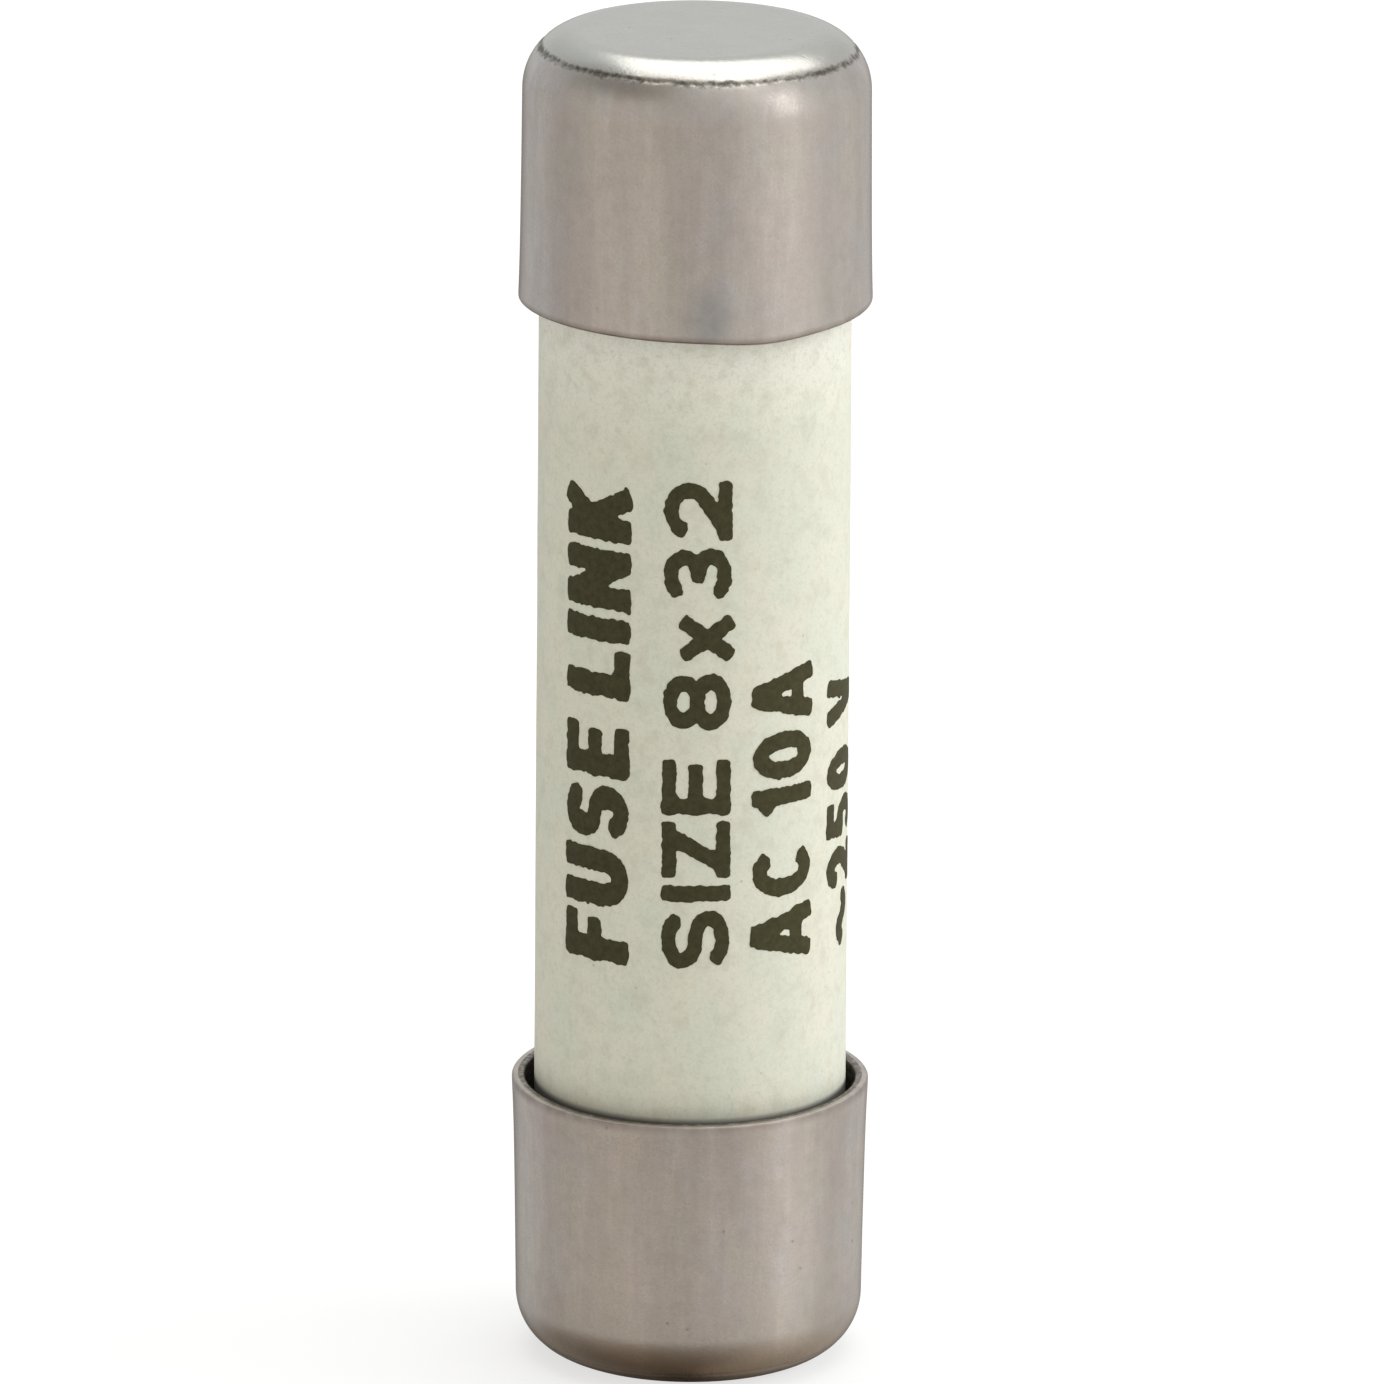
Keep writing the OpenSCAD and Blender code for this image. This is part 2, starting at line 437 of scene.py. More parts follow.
def bare_brass():
    """Drawn brass, a little dull, with drawing marks along the axis."""
    n = Nodes("bare_brass")
    tarnish = n.ramp(n.noise(1.4 * MM, 4, 0.6), 0.35, 0.7)
    color = n.mix(tarnish, (0.66, 0.47, 0.20), (0.42, 0.27, 0.12))
    streaks = n.noise(0.12 * MM, 3, 0.6, along=18)
    color = n.mix(n.ramp(streaks, 0.4, 0.7, 0.0, 0.3), color, (0.34, 0.22, 0.10))
    rough = n.ramp(streaks, 0.3, 0.7, 0.26, 0.40)
    normal = n.bump(streaks, 0.004 * MM, 0.6)
    return n.finish(color, rough, normal, Metallic=1.0)


def soft_solder():
    """Soft tin solder: grey, slightly frosted, with a crystal grain."""
    n = Nodes("soft_solder")
    frost = n.ramp(n.spots(0.22 * MM), 0.1, 0.6)
    color = n.mix(frost, (0.60, 0.60, 0.62), (0.44, 0.44, 0.46))
    rough = n.ramp(n.noise(0.2 * MM, 3, 0.6), 0.35, 0.65, 0.24, 0.42)
    normal = n.bump(frost, 0.008 * MM, 0.4)
    return n.finish(color, rough, normal, Metallic=1.0)


def drawn_silver():
    """Bright drawn wire with fine lines along it."""
    n = Nodes("drawn_silver")
    lines = n.noise(0.02 * MM, 2, 0.6, along=30)
    color = n.mix(n.ramp(lines, 0.35, 0.7), (0.86, 0.84, 0.80), (0.68, 0.65, 0.60))
    rough = n.ramp(lines, 0.3, 0.7, 0.16, 0.28)
    normal = n.bump(lines, 0.002 * MM, 0.5)
    return n.finish(color, rough, normal, Metallic=1.0)


def pressed_fibre():
    """Vulcanised fibre: matt red-brown with short pale fibres."""
    n = Nodes("pressed_fibre")
    pulp = n.noise(0.3 * MM, 5, 0.7)
    color = n.mix(n.ramp(pulp, 0.35, 0.7), (0.30, 0.13, 0.07), (0.20, 0.085, 0.05))
    fibres = n.ramp(n.noise(0.05 * MM, 3, 0.6, along=0.2, shift=2.0), 0.6, 0.7)
    color = n.mix(n.math("MULTIPLY", fibres, 0.5), color, (0.48, 0.30, 0.18))
    rough = n.ramp(pulp, 0.3, 0.7, 0.72, 0.88)
    normal = n.bump(pulp, 0.02 * MM, 0.5)
    return n.finish(color, rough, normal)


def quartz_grains():
    """Packed quartz sand: pale, half clear grains with a few dark and rusty ones."""
    n = Nodes("quartz_grains")
    grains = n.tree.nodes.new("ShaderNodeTexVoronoi")
    grains.inputs["Scale"].default_value = 1.0
    per_metre = 1 / (0.28 * MM)
    n.put(n.scaled(per_metre, per_metre, per_metre), grains.inputs["Vector"])
    tint = n.tree.nodes.new("ShaderNodeSeparateColor")
    n.put(grains.outputs["Color"], tint.inputs["Color"])
    color = n.mix(tint.outputs["Red"], (0.80, 0.75, 0.64), (0.62, 0.55, 0.43))
    color = n.mix(n.ramp(tint.outputs["Green"], 0.93, 0.95), color, (0.30, 0.17, 0.09))
    color = n.mix(n.ramp(tint.outputs["Blue"], 0.95, 0.97), color, (0.12, 0.11, 0.10))
    rough = n.ramp(tint.outputs["Red"], 0, 1, 0.25, 0.6)
    rounding = n.ramp(grains.outputs["Distance"], 0.0, 0.7, 1.0, 0.0)
    return n.finish(color, rough, n.bump(rounding, 0.08 * MM, 0.8))


# ---- contact caps ----------------------------------------------------------
# A ring of a cap is (r, z, polish, painted_shade, lip): where it runs, and how its plating is finished and
# how much shade is painted on it, from 0 to 1.
# Each is one number, or one number per angle. The closed end is down.

CAP_SEGMENTS = 360
FACE_R = CONTACT_R - CORNER_R  # radius of the flat end face
EDGE_R = 0.06 * MM  # rounding of the cut edge
CREASE_DEG = 46  # turn of the corner, from the end face, at which the pressed end meets the drawn barrel
DENTS = 22


def end_face_rings():
    """The end face outside, which is very slightly hollow."""
    hollow = 0.006 * MM
    return [(FACE_R * t, hollow * (1 - t ** 4), 1.0, 0.0, 0.0) for t in np.linspace(0.04, 0.97, 22)]


def corner_rings(barrel_r, wobble, tilt, groove_and_shade):
    """The corner outside, polished to just beyond its crease, which is a shallow groove with shade painted in
    it.

    wobble and tilt are the crease's wander in degrees at each angle, and groove_and_shade is how deep its
    groove is and how much shade is painted in it there.
    """
    # how far from the crease its wander, its painted shade and its groove reach, in degrees of the corner's
    # turn
    wander_deg, shade_deg, groove_deg = 12, 6.2, 2.3
    groove_depth = 0.012 * MM
    side = barrel_r - FACE_R
    near = CREASE_DEG + np.array([-6, -4, -3, -2.2, -1.5, -0.8, 0, 0.8, 1.5, 2.2, 3, 4, 6])
    turns = np.concatenate([np.linspace(0, CREASE_DEG - 9, 12), near, np.linspace(CREASE_DEG + 9, 90, 14)])
    rings = []
    for turn in turns:
        beyond = turn - CREASE_DEG
        bend = np.radians(turn + (wobble + tilt) * bell(beyond, wander_deg))
        sink = groove_depth * groove_and_shade * bell(beyond, groove_deg) * (1 + 0.3 * wobble)
        r = FACE_R + (side - sink) * np.sin(bend)
        z = CORNER_R - (CORNER_R - sink) * np.cos(bend)
        polish = min(1.0, max(0.0, (2 - beyond) / 16))
        # the crease's painted shade, fading away from it
        rings.append((r, z, polish, groove_and_shade * bell(beyond, shade_deg), 0.0))
    return rings


def barrel_rings(barrel_r, mouth_r, lip_z):
    """The barrel outside, which opens slowly towards its mouth and faster at the very end."""
    rings = []
    for t in np.linspace(0.04, 0.985, 40):
        r = barrel_r + (mouth_r - barrel_r) * (0.65 * t + 0.35 * t ** 6)
        z = CORNER_R + (lip_z - CORNER_R) * t
        rings.append((r, z, 0.0, 0.0, 0.0))
    return rings


def lip_rings(mouth_r):
    """The cut edge round the mouth, with shade painted from its middle inwards."""
    # painted shade on the inner half of the cut edge, beside the gap round the tube
    unshaded, shaded = 0.0, 0.9
    outer_r, inner_r = mouth_r - EDGE_R, INNER_R + EDGE_R
    edge_z = CAP_LENGTH - EDGE_R
    points = [(r, z, unshaded) for r, z in arc(outer_r, edge_z, EDGE_R, 0, 90, 6)]
    for inwards, painted_shade in ((0.35, unshaded), (0.5, shaded)):
        points.append((outer_r + (inner_r - outer_r) * inwards, CAP_LENGTH, painted_shade))
    points += [(r, z, shaded) for r, z in arc(inner_r, edge_z, EDGE_R, 90, 180, 6)]
    return [(r, z, 0.0, painted_shade, 1.0) for r, z, painted_shade in points]


def inside_rings(lip_z):
    """The inside, from the mouth down a wall with painted shade to the closed end."""
    # painted shade on the wall inside the mouth
    wall = [(INNER_R, CORNER_R + (lip_z - CORNER_R) * t, 0.85) for t in np.linspace(0.97, 0.05, 24)]
    corner = [(r, z, 0.0) for r, z in arc(FACE_R, CORNER_R, INNER_R - FACE_R, 0, -90, 14)]
    face = [(FACE_R * t, CAP_WALL, 0.0) for t in (0.66, 0.33)]
    return [(r, z, 0.0, painted_shade, 0.0) for r, z, painted_shade in wall + corner + face]


def dents(angles, height):
    """Depth of a cap's shallow dents."""
    depth = np.zeros_like(height)
    for _ in range(DENTS):
        angle = rng.uniform(0, 2 * math.pi)
        z = rng.uniform(0.2, 0.97) * CAP_LENGTH
        width = rng.uniform(0.2, 0.8) * MM
        gap = (angles - angle + math.pi) % (2 * math.pi) - math.pi
        distance = np.hypot(gap * CONTACT_R, height - z)
        depth += rng.uniform(0.001, 0.004) * MM * bell(distance, width)
    return depth


def contact_cap(name, node, upper, barrel_r, mouth_r, rim_wave, groove_and_shade, material):
    """A drawn cup whose rim, barrel, corner and end are a little uneven.

    rim_wave(angles) is the rim's extra length, and groove_and_shade is how deep the crease's groove is and
    how much shade is painted in it, from 0 to 1.
    """
    angles = np.linspace(0, 2 * math.pi, CAP_SEGMENTS, endpoint=False)
    # the crease wanders by a degree or two, is higher on one side, and its groove and painted shade are
    # stronger in places
    wobble = ring_wave(angles, range(9, 60), 1.3) + ring_wave(angles, (2, 3, 5), 0.8)
    tilt = 2.6 * np.sin(angles) - 1.0
    patchy_groove_and_shade = groove_and_shade * (0.96 + ring_wave(angles, (1, 2, 3, 5, 8), 0.16))
    lip_z = CAP_LENGTH - (mouth_r - INNER_R) / 2
    rings = end_face_rings() + corner_rings(barrel_r, wobble, tilt, patchy_groove_and_shade)
    rings += barrel_rings(barrel_r, mouth_r, lip_z) + lip_rings(mouth_r) + inside_rings(lip_z)
    radius, height, polish, painted_shade, lip = (
        np.array([value * np.ones(CAP_SEGMENTS) for value in column]) for column in zip(*rings))
    along = np.clip((height - CORNER_R) / (CAP_LENGTH - CORNER_R), 0, 1)
    # the barrel is very slightly out of round, more so at the open mouth
    swell = ring_wave(angles, (2, 3, 4), 0.008 * MM) * (0.35 + 0.65 * along ** 2)
    swell += ring_wave(angles, (5, 7, 9, 13), 0.004 * MM) * np.sin(math.pi * along)
    swell -= dents(angles, height)
    radius = radius + swell * (radius / CONTACT_R) ** 2
    height = height + rim_wave(angles) * along ** 3
    vertices, faces = ring_mesh(radius, height, angles)
    if upper:
        # turned end for end, so that the closed end is up
        vertices[:, 1] *= -1
        vertices[:, 2] = LENGTH - vertices[:, 2]
    piece = make_object(name, vertices, faces, material, [node])
    # the mesh ends with two points on the axis: the middle of the end face, outside and inside
    for key, values, outside in (("polish", polish, 1.0), ("painted_shade", painted_shade, 0.0), ("lip", lip, 0.0)):
        add_attribute(piece, key, np.append(values, (outside, 0.0)))
    return piece


def upper_rim(angles):
    """The upper cap's rim hangs lowest to the right of the middle of the marked side."""
    sway, ear_length, shortfall = 0.045 * MM, 0.07 * MM, 0.08 * MM
    facing = (2 * math.pi - angles) % (2 * math.pi) - math.pi
    ear = bell(facing - math.radians(23), math.radians(15))
    return sway * np.cos(2 * (facing - math.radians(25))) + ear_length * ear - shortfall


def lower_rim(angles):
    """The lower cap is a touch longer and its rim is nearly level."""
    extra, sway, ripple = 0.19 * MM, 0.02 * MM, 0.008 * MM
    return extra + sway * np.cos(2 * (angles - math.radians(70))) + ripple * np.cos(5 * angles)


# ---- ceramic tube ----------------------------------------------------------

TUBE_SEGMENTS = 256


def tube_radius(z):
    """The fired tube is a touch slim, and more so towards its upper end."""
    shrinkage, taper = 0.015 * MM, 0.05 * MM
    return TUBE_R - (shrinkage + taper * z / LENGTH)


def tube_profile():
    """Closed half section of a straight tube whose ends are rounded outside and chamfered inside."""
    corner, chamfer, top = TUBE_CORNER_R, TUBE_CHAMFER, LENGTH - TUBE_Z
    profile = [(BORE_R, TUBE_Z + chamfer), (BORE_R + chamfer, TUBE_Z)]
    profile += arc(TUBE_R - corner, TUBE_Z + corner, corner, -90, 0, 9)
    profile += straight((TUBE_R, TUBE_Z + corner), (TUBE_R, top - corner), 90)
    profile += arc(TUBE_R - corner, top - corner, corner, 0, 90, 9)
    profile += [(BORE_R + chamfer, top), (BORE_R, top - chamfer)]
    profile += straight((BORE_R, top - chamfer), (BORE_R, TUBE_Z + chamfer), 12)
    return profile


def ceramic_tube(material):
    """The fired tube, whose outside tapers, and wavers by less than a hundredth of a millimetre."""
    rings, faces, angles = lathe(tube_profile(), TUBE_SEGMENTS)
    radius = np.hypot(rings[:, :, 0], rings[:, :, 1])
    height = rings[:, :, 2]
    skin, waver_size = 0.05 * MM, 0.004 * MM
    outside = np.clip((radius - TUBE_R + skin) / skin, 0, 1)
    phase = 2 * math.pi * height / LENGTH
    waver = np.abs(np.sin(2.3 * phase + 2 * angles) + 0.6 * np.sin(5.1 * phase - 3 * angles + 1.0))
    scale = 1 - outside * (TUBE_R - tube_radius(height) + waver_size * waver) / radius
    rings[:, :, 0] *= scale
    rings[:, :, 1] *= scale
    return make_object("tube_body", rings.reshape(-1, 3), faces, material, ["ceramic_tube"])


# ---- marking ---------------------------------------------------------------
# A character is a set of strokes in a box 1 high. half is half the stroke's width.

WIDTHS = {
    "F": 0.62, "U": 0.78, "S": 0.74, "E": 0.66, "L": 0.62, "N": 0.80, "K": 0.80, "Z": 0.68, "A": 0.86,
    "C": 0.78, "V": 0.84, "x": 0.66, "8": 0.70, "3": 0.68, "2": 0.70, "1": 0.42, "0": 0.70, "5": 0.70,
    "~": 0.78, " ": 0.17,
}

# text, baseline's angle to the right of the camera side, height, stroke's width, widening, length
MARKING_LINES = [
    ("FUSE LINK", -23.6, 1.86 * MM, 0.215, 1.40, 11.6 * MM),
    ("SIZE 8x32", 14.2, 1.62 * MM, 0.21, 1.12, 11.75 * MM),
    ("AC 10A", 49.0, 1.70 * MM, 0.205, 1.20, 7.2 * MM),
    ("~250 V", 86.0, 1.72 * MM, 0.21, 1.10, 6.5 * MM),
]
MARKING_Z = 10.38 * MM  # where every line starts
PITCH = 0.035 * MM  # grid of the ink's outline
PAD = 0.15 * MM  # room round a line for its ragged edge
FAR = 9.0  # a distance, in letter heights, that every stroke is nearer than
SKINS = (0.008 * MM, -0.014 * MM)  # the film's outer and inner face, from the tube's surface


def bow(cx, cy, rx, ry, start_deg, end_deg):
    """Points along part of an ellipse."""
    count = max(6, int(abs(end_deg - start_deg) / 15) + 1)
    turns = np.radians(np.linspace(start_deg, end_deg, count))
    return [(cx + rx * math.cos(t), cy + ry * math.sin(t)) for t in turns]


def glyph(character, half, stretch):
    """The width and the strokes of one character. The letter I is as wide as its stroke."""
    wide = 2 * half if character == "I" else WIDTHS[character] * stretch
    left, middle, right = half, wide / 2, wide - half
    low, high = half, 1 - half
    # half the width of a round letter, and half the height of the bowls of 3, 8 and S
    reach, rise = wide / 2 - half, (1 - 2 * half) / 4
    upper_bowl, lower_bowl = high - rise, low + rise
    # radii of the top of 2, the belly of 5 and the foot of U, and where slanted strokes start
    crown, belly, cup = 0.27, 0.235, 0.36
    lean, splay = half * 1.05, half * 1.15
    stem = [(left, 0), (left, 1)]
    top_bar = [(0, high), (wide, high)]
    foot_bar = [(0, low), (wide, low)]
    strokes = {
        "F": [stem, top_bar, [(0, 0.50), (wide * 0.9, 0.50)]],
        "E": [stem, top_bar, [(0, 0.51), (wide * 0.92, 0.51)], foot_bar],
        "L": [stem, foot_bar],
        "I": [stem],
        "N": [stem, [(right, 0), (right, 1)], [(left, high + 0.03), (right, low - 0.03)]],
        "K": [stem, [(left, 0.36), (wide - half * 1.3, 1)], [(wide * 0.42, 0.50), (wide - half * 1.2, 0)]],
        "Z": [top_bar, foot_bar, [(wide - half * 1.5, high), (half * 1.5, low)]],
        "U": [[(left, 1)] + bow(middle, cup, reach, cup - half, 180, 360) + [(right, 1)]],
        "S": [bow(middle, upper_bowl, reach, rise, 22, 270)
              + bow(middle, lower_bowl, reach, rise, 90, -158)[1:]],
        "A": [[(lean, 0), (middle - 0.02, 1)], [(wide - lean, 0), (middle + 0.02, 1)],
              [(wide * 0.27, 0.27), (wide * 0.73, 0.27)]],
        "V": [[(lean, 1), (middle - 0.02, 0)], [(wide - lean, 1), (middle + 0.02, 0)]],
        "C": [bow(middle, 0.5, reach, 0.5 - half, 42, 318)],
        "x": [[(splay, 0), (wide - splay, 0.72)], [(wide - splay, 0), (splay, 0.72)]],
        "0": [bow(middle, 0.5, reach, 0.5 - half, 0, 360)],
        "1": [[(right, 0), (right, 1)], [(right, high - 0.03), (half * 0.6, 0.72)]],
        "2": [bow(middle, high - crown, reach, crown, 165, -40) + [(left + 0.02, low)], foot_bar],
        "3": [bow(middle, upper_bowl, reach - 0.02, rise, 155, -90)
              + bow(middle, lower_bowl, reach, rise, 90, -155)[1:]],
        "5": [[(wide * 0.93, high), (left + 0.05, high)], [(left + 0.07, 1), (left + 0.01, 0.46)],
              bow(middle, low + belly, reach, belly, 140, -150)],
        "8": [bow(middle, upper_bowl, reach - 0.02, rise, 0, 360),
              bow(middle, lower_bowl, reach, rise, 0, 360)],
        "~": [[(wide * t, 0.45 + 0.13 * math.sin(2 * math.pi * t)) for t in np.linspace(0, 1, 15)]],
        " ": [],
    }
    return wide, strokes[character]


def stroke_distance(x, y, stroke, half):
    """Signed distance from a grid of points to a stroke with square ends."""
    best = np.full(x.shape, FAR)
    last = len(stroke) - 2
    for i, ((ax, ay), (bx, by)) in enumerate(zip(stroke, stroke[1:])):
        length = math.hypot(bx - ax, by - ay)
        ux, uy = (bx - ax) / length, (by - ay) / length
        along = (x - ax) * ux + (y - ay) * uy
        across = np.abs((y - ay) * ux - (x - ax) * uy)
        beyond = np.maximum(np.maximum(-along, along - length), 0)
        rounded = np.hypot(beyond, across) - half
        squared = np.maximum(across - half, beyond)
        at_end = ((along < 0) & (i == 0)) | ((along > length) & (i == last))
        best = np.minimum(best, np.where(at_end & (stroke[0] != stroke[-1]), squared, rounded))
    return best


def line_field(text, height, weight, widen, length):
    """Signed distance, in metres, from a printed line of the given length, on a grid from (-PAD, -PAD).

    weight is the strokes' thickness across the line, in letter heights. widen makes them thicker along it.
    """
    half, gap, gaps = weight / 2, 0.12, len(text) - 1
    free = length / height - gap * gaps
    stretch = free / sum(widen * glyph(c, half, 1.0 / widen)[0] for c in text)
    shapes = [glyph(c, half, stretch / widen) for c in text]
    # the letter I doesn't stretch, so the gaps take up the rest of the length
    gap += (free - sum(widen * wide for wide, _ in shapes)) / gaps
    xs = np.arange(-PAD, length + PAD, PITCH)
    ys = np.arange(-PAD, height + PAD, PITCH)
    x, y = np.meshgrid(xs / height, ys / height, indexing="ij")
    field = np.full(x.shape, FAR)
    start = 0.0
    for wide, strokes in shapes:
        for stroke in strokes:
            field = np.minimum(field, stroke_distance((x - start) / widen, y, stroke, half))
        start += widen * wide + gap
    # corners are softened, and ink creeps into the ceramic's grain, so the edge is ragged
    cut_off, softness = 0.2 * MM, 0.042 * MM
    field = blur(np.minimum(field * height, cut_off), softness / PITCH)
    for size, depth in ((0.035 * MM, 0.011 * MM), (0.12 * MM, 0.003 * MM)):
        grain = blur(rng.normal(size=field.shape), size / PITCH)
        field += depth * grain / grain.std()
    return field


def inked_patches(field):
    """Marching squares: the cells, or parts of cells, where the field is negative.

    Gives the points as places on the grid, whole or fractional, and the patches as lists of points.
    """
    points, index, patches = [], {}, []
    margin = 0.05  # cuts keep this far from the grid's corners, so that no patch is a sliver

    def corner(place):
        if place not in index:
            index[place] = len(points)
            points.append(place)
        return index[place]

    def crossing(a, b):
        key = (min(a, b), max(a, b))
        if key not in index:
            start, end = field[key[0]], field[key[1]]
            t = min(max(start / (start - end), margin), 1 - margin)
            (ia, ja), (ib, jb) = key
            index[key] = len(points)
            points.append((ia + (ib - ia) * t, ja + (jb - ja) * t))
        return index[key]

    inside = field < 0
    touched = inside[:-1, :-1] | inside[1:, :-1] | inside[:-1, 1:] | inside[1:, 1:]
    for i, j in zip(*(place.tolist() for place in np.nonzero(touched))):
        corners = [(i, j), (i + 1, j), (i + 1, j + 1), (i, j + 1)]
        patch = []
        for a, b in zip(corners, corners[1:] + corners[:1]):
            if inside[a]:
                patch.append(corner(a))
            if inside[a] != inside[b]:
                patch.append(crossing(a, b))
        patches.append(patch)
    return points, patches


def film(field, baseline):
    """Closed film of ink on the tube: an outer and an inner skin, and walls round every edge."""
    points, patches = inked_patches(field)
    vertices = []
    for skin in SKINS:
        for i, j in points:
            angle = baseline - (j * PITCH - PAD) / TUBE_R
            z = MARKING_Z - PAD + i * PITCH
            radius = tube_radius(z) + skin
            vertices.append((radius * math.sin(angle), -radius * math.cos(angle), z))
    count = len(points)
    sides = dict.fromkeys(side for patch in patches for side in zip(patch, patch[1:] + patch[:1]))
    faces = patches + [[count + v for v in reversed(patch)] for patch in patches]
    faces += [[b, a, count + a, count + b] for a, b in sides if (b, a) not in sides]
    return vertices, faces


def printed_marking(material):
    """Lines of generic print that run up the tube, as a film of ink on its surface."""
    vertices, faces = [], []
    for text, baseline_deg, height, weight, widen, length in MARKING_LINES:
        field = line_field(text, height, weight, widen, length)
        line_vertices, line_faces = film(field, math.radians(baseline_deg))
        faces += [[len(vertices) + v for v in face] for face in line_faces]
        vertices += line_vertices
    return make_object("printed_marking", vertices, faces, material)


# ---- studio ----------------------------------------------------------------
# The surround's brightness, as (degrees, colour): by height above the horizon, and by azimuth, which is 0
# towards the camera and grows to the camera's right.

BY_HEIGHT = [
    (-90, (0.105, 0.072, 0.045)),
    (-55, (0.235, 0.190, 0.150)),
    (-34, (0.38, 0.330, 0.288)),
    (-19, (0.66, 0.625, 0.595)),
    (10, (0.64, 0.63, 0.615)),
    (90, (0.60, 0.605, 0.60)),
]
BY_SIDE = [
    (-180, (1.14, 1.17, 1.19)),
    (-150, (0.98, 1.02, 1.05)),
    (-118, (0.86, 0.88, 0.90)),
    (-88, (0.80, 0.785, 0.76)),
    (-50, (1.02, 0.985, 0.93)),
    (5, (0.92, 0.91, 0.895)),
    (38, (1.06, 1.06, 1.05)),
    (62, (1.60, 1.60, 1.59)),
    (95, (1.12, 1.14, 1.14)),
    (130, (1.02, 1.04, 1.05)),
    (180, (1.14, 1.17, 1.19)),
]
# low down, where only the lower cap looks, the surround is more even
LOW = [
    (-180, (1.0, 1.0, 1.0)),
    (-115, (1.0, 1.0, 1.0)),
    (-65, (1.07, 1.08, 1.07)),
    (-15, (1.0, 1.0, 1.0)),
    (25, (1.0, 1.0, 1.0)),
    (60, (0.87, 0.87, 0.87)),
    (95, (1.0, 1.0, 1.0)),
    (180, (1.0, 1.0, 1.0)),
]
UNDERFOOT = [
    (-180, (1.0, 1.0, 1.0)),
    (-110, (0.84, 0.81, 0.78)),
    (-60, (0.84, 0.81, 0.78)),
    (-20, (0.72, 0.69, 0.66)),
    (12, (0.86, 0.85, 0.84)),
    (45, (1.08, 1.09, 1.09)),
    (85, (1.55, 1.57, 1.58)),
    (125, (1.50, 1.50, 1.50)),
    (180, (1.0, 1.0, 1.0)),
]
# below the horizon and behind, the fuse hides the light from its own base
NEAR_BASE = [
    (-180, (0.08, 0.07, 0.06)),
    (-165, (0.30, 0.28, 0.26)),
    (-145, (0.95, 0.95, 0.95)),
    (-120, (1.0, 1.0, 1.0)),
    (140, (1.0, 1.0, 1.0)),
    (152, (0.95, 0.95, 0.95)),
    (168, (0.35, 0.33, 0.31)),
    (180, (0.08, 0.07, 0.06)),
]
# overhead, the left is in shade
OVERHEAD = [
    (-180, (1.05, 1.05, 1.05)),
    (-145, (1.15, 1.15, 1.15)),
    (-100, (0.60, 0.59, 0.57)),
    (-45, (0.45, 0.44, 0.42)),
    (0, (1.15, 1.15, 1.15)),
    (35, (1.15, 1.15, 1.15)),
    (90, (1.0, 1.0, 1.0)),
    (180, (1.05, 1.05, 1.05)),
]
# heights between which each table fades in
SIDE_TABLES = [(-14, -19, LOW), (-22, -38, UNDERFOOT), (0, -10, NEAR_BASE), (20, 42, OVERHEAD)]


def sight_angles(tree):
    """Height and azimuth of the line of sight into the surround, in radians."""
    axes = tree.nodes.new("ShaderNodeSeparateXYZ")
    tree.links.new(tree.nodes.new("ShaderNodeTexCoord").outputs["Generated"], axes.inputs[0])
    height = tree.nodes.new("ShaderNodeMath")
    height.operation = "ARCSINE"
    tree.links.new(axes.outputs["Z"], height.inputs[0])
    toward = tree.nodes.new("ShaderNodeMath")
    toward.operation = "MULTIPLY"
    toward.inputs[1].default_value = -1.0
    tree.links.new(axes.outputs["Y"], toward.inputs[0])
    azimuth = tree.nodes.new("ShaderNodeMath")
    azimuth.operation = "ARCTAN2"
    tree.links.new(axes.outputs["X"], azimuth.inputs[0])
    tree.links.new(toward.outputs[0], azimuth.inputs[1])
    return height.outputs[0], azimuth.outputs[0]


def angle_fade(tree, angle, start_deg, end_deg):
    """Grows from 0 to 1 as an angle goes from start to end."""
    fade = tree.nodes.new("ShaderNodeMapRange")
    fade.inputs["From Min"].default_value = math.radians(start_deg)
    fade.inputs["From Max"].default_value = math.radians(end_deg)
    tree.links.new(angle, fade.inputs["Value"])
    return fade.outputs["Result"]


def angle_colors(tree, angle, limit_deg, table):
    """The colours of a table, by an angle that runs from -limit to +limit."""
    ramp = tree.nodes.new("ShaderNodeValToRGB")
    tree.links.new(angle_fade(tree, angle, -limit_deg, limit_deg), ramp.inputs["Fac"])
    elements = ramp.color_ramp.elements
    while len(elements) < len(table):
        elements.new(0.5)
    for element, (degrees, color) in zip(elements, table):
        element.position = (degrees + limit_deg) / (2 * limit_deg)
        element.color = (*color, 1.0)
    return ramp.outputs["Color"]


def multiply_colors(tree, a, b):
    """A mixer that multiplies two colours. Its factor is 1 until something is linked to it."""
    mixer = tree.nodes.new("ShaderNodeMix")
    mixer.data_type = "RGBA"
    mixer.blend_type = "MULTIPLY"
    mixer.inputs[0].default_value = 1.0
    tree.links.new(a, mixer.inputs[6])
    tree.links.new(b, mixer.inputs[7])
    return mixer


def surround():
    """An even pale tent: darker and warmer underfoot, brighter to the right and behind."""
    world = bpy.data.worlds.new("surround")
    world.use_nodes = True
    bpy.context.scene.world = world
    tree = world.node_tree
    height, azimuth = sight_angles(tree)
    by_height = angle_colors(tree, height, 90, BY_HEIGHT)
    by_side = angle_colors(tree, azimuth, 180, BY_SIDE)
    color = multiply_colors(tree, by_height, by_side).outputs[2]
    for start_deg, end_deg, table in SIDE_TABLES:
        mixer = multiply_colors(tree, color, angle_colors(tree, azimuth, 180, table))
        tree.links.new(angle_fade(tree, height, start_deg, end_deg), mixer.inputs[0])
        color = mixer.outputs[2]
    tree.links.new(color, tree.nodes["Background"].inputs["Color"])


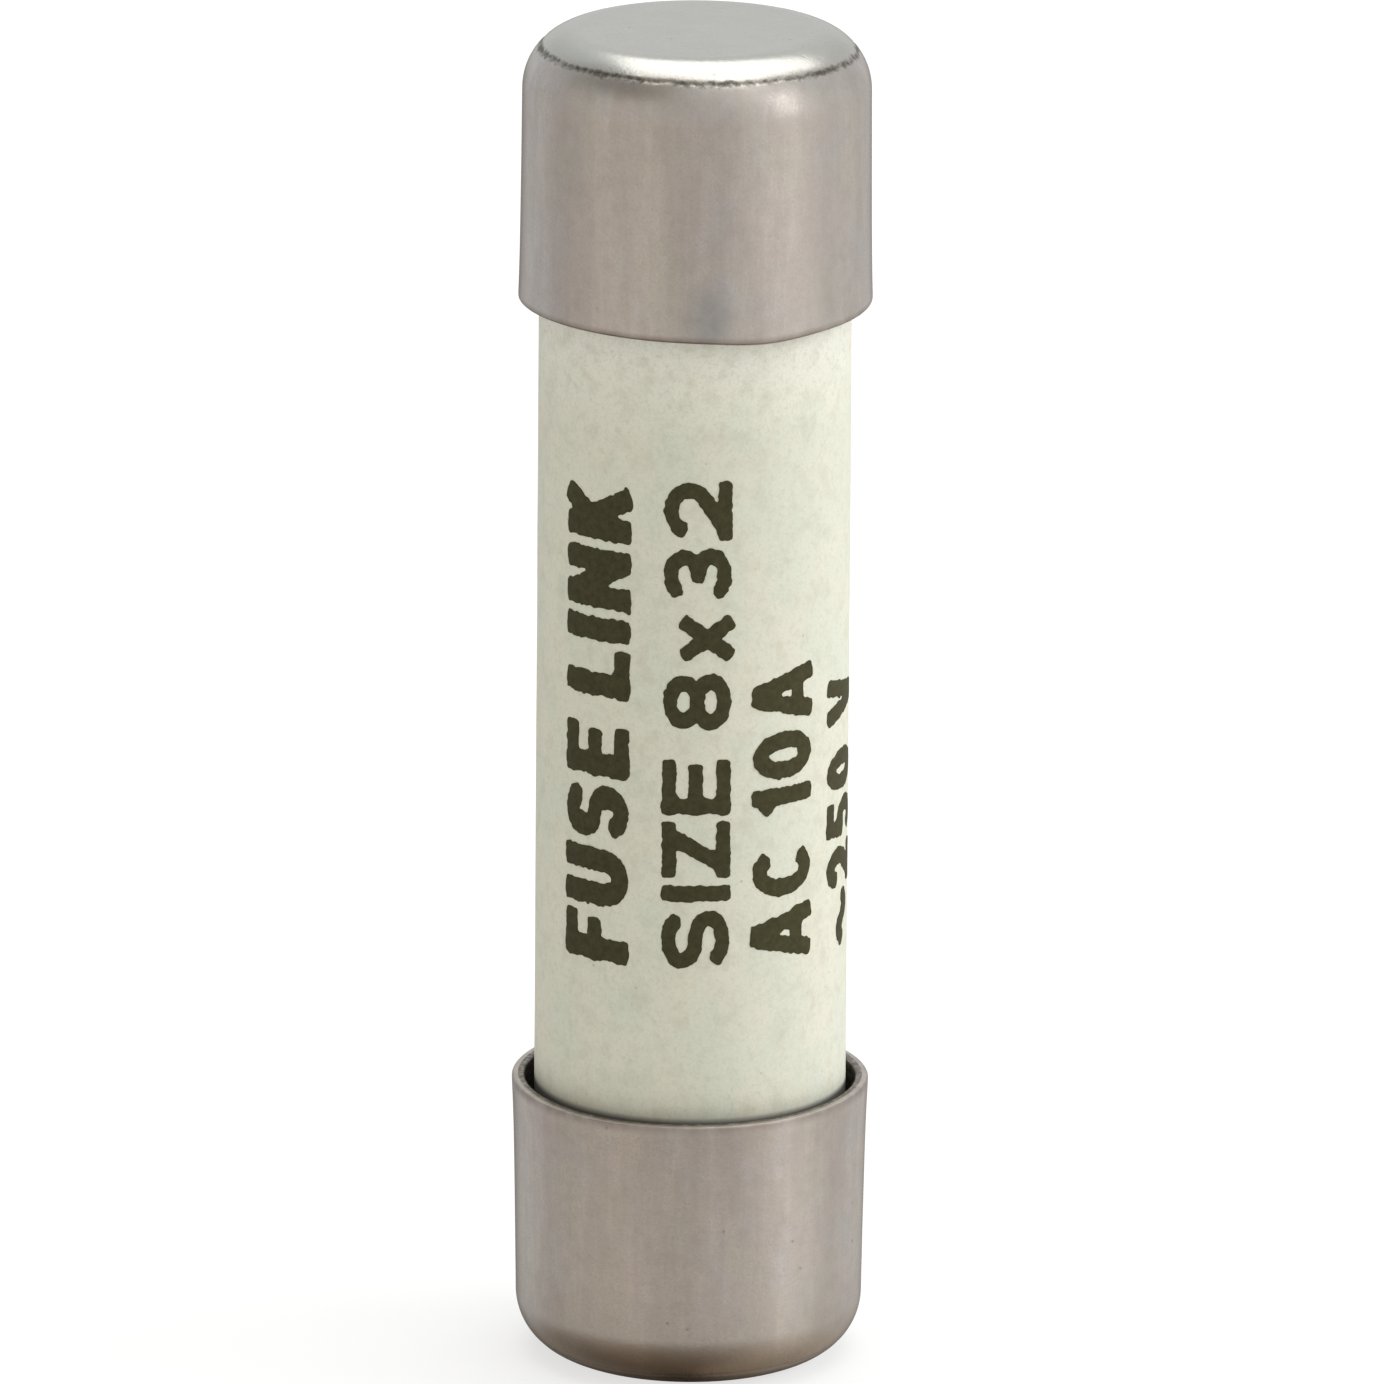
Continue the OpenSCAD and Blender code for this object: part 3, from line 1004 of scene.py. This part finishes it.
def plain_floor():
    """A wide pale floor that glows a little, like a light table. The metal doesn't mirror it."""
    n = Nodes("pale_floor")
    glow = {"Emission_Color": (1.0, 1.0, 0.995, 1.0), "Emission_Strength": 0.66}
    material = n.finish((0.32, 0.32, 0.318, 1.0), 0.9, None, Specular_IOR_Level=0.0, **glow)
    # the fuse hides the small hole in the middle, where the rings start
    hole, near, far, reach, depth = 0.001, 0.05, 0.5, 5.0, 0.01
    profile = [(hole, 0), (near, 0), (far, 0), (reach, 0), (reach, -depth), (hole, -depth)]
    rings, faces, _ = lathe(profile, 96)
    mesh = bpy.data.meshes.new("floor")
    mesh.from_pydata([tuple(p) for p in rings.reshape(-1, 3)], [], faces)
    mesh.materials.append(material)
    floor = bpy.data.objects.new("floor", mesh)
    floor.visible_glossy = False
    bpy.context.scene.collection.objects.link(floor)


def direction(azimuth_deg, elevation_deg):
    """Unit vector from the fuse. Azimuth 0 is towards the camera and grows to the camera's right."""
    azimuth, elevation = math.radians(azimuth_deg), math.radians(elevation_deg)
    flat = math.cos(elevation)
    return Vector((math.sin(azimuth) * flat, -math.cos(azimuth) * flat, math.sin(elevation)))


def softbox(name, azimuth_deg, elevation_deg, distance, width, height, radiance, tint=(1.0, 1.0, 1.0)):
    """A rectangular area light that faces the fuse. radiance is how bright its surface looks."""
    light = bpy.data.lights.new(name, "AREA")
    light.shape = "RECTANGLE"
    light.size, light.size_y = width, height
    light.energy = radiance * math.pi * width * height
    light.color = tint
    lamp = bpy.data.objects.new(name, light)
    back = direction(azimuth_deg, elevation_deg)
    lamp.location = back * distance + Vector((0, 0, LENGTH / 2))
    lamp.rotation_euler = back.to_track_quat("Z", "Y").to_euler()
    bpy.context.scene.collection.objects.link(lamp)
    return lamp


def studio():
    """Two lights that the metal mirrors, above-behind and to the right, and two that only fill."""
    surround()
    softbox("overhead", azimuth_deg=160, elevation_deg=72, distance=1.6,
            width=1.6, height=1.75, radiance=1.40, tint=(1.0, 0.985, 0.95))
    glint = softbox("glint_right", azimuth_deg=63, elevation_deg=20, distance=1.6,
                    width=0.30, height=0.95, radiance=0.98, tint=(1.0, 0.97, 0.94))
    glint.visible_diffuse = False
    ceiling = softbox("ceiling", azimuth_deg=180, elevation_deg=88, distance=2.0,
                      width=2.4, height=2.4, radiance=0.62)
    ceiling.visible_glossy = False
    key = softbox("key_right", azimuth_deg=92, elevation_deg=20, distance=1.6,
                  width=0.9, height=1.1, radiance=4.3, tint=(0.96, 1.0, 1.09))
    key.visible_glossy = False


def camera():
    """A long lens above the fuse, which fills the picture's height and leans by under half a degree."""
    elevation_deg, roll_deg = 16.1, 0.42
    distance, view_width = 0.343, 1.0131 * LENGTH
    aim = Vector((-0.015 * MM, 0, LENGTH / 2 + 0.049 * MM))
    data = bpy.data.cameras.new("camera")
    data.sensor_width = 36.0
    data.lens = data.sensor_width * distance / view_width
    data.clip_start = 0.01
    data.clip_end = 20.0
    data.dof.use_dof = False
    lens = bpy.data.objects.new("camera", data)
    back = direction(0, elevation_deg)
    lens.location = aim + back * distance
    roll = Euler((0, 0, math.radians(roll_deg))).to_quaternion()
    lens.rotation_euler = (back.to_track_quat("Z", "Y") @ roll).to_euler()
    bpy.context.scene.collection.objects.link(lens)
    bpy.context.scene.camera = lens


# ---- assembly --------------------------------------------------------------

plate = nickel_plate()
contact_cap("upper_cap_shell", "upper_contact_cap", True, 4.05 * MM, 4.12 * MM, upper_rim, 1.0, plate)
contact_cap("lower_cap_shell", "lower_contact_cap", False, 4.09 * MM, MOUTH_R, lower_rim, 0.45, plate)
ceramic_tube(steatite())
printed_marking(marking_ink())

# the inner pieces keep their CAD shapes
brass, solder, silver = bare_brass(), soft_solder(), drawn_silver()
fibre, quartz = pressed_fibre(), quartz_grains()
finishes = {
    "upper_inner_cap": brass,
    "lower_inner_cap": brass,
    "upper_solder_joint": solder,
    "lower_solder_joint": solder,
    "overload_bead": solder,
    "fuse_wire": silver,
    "upper_sealing_disc": fibre,
    "lower_sealing_disc": fibre,
    "quartz_sand": quartz,
}
for node, material in finishes.items():
    for place in frame["nodes"][node].material_slots:
        place.material = material

plain_floor()
studio()
camera()
bpy.context.scene.view_settings.view_transform = "Standard"
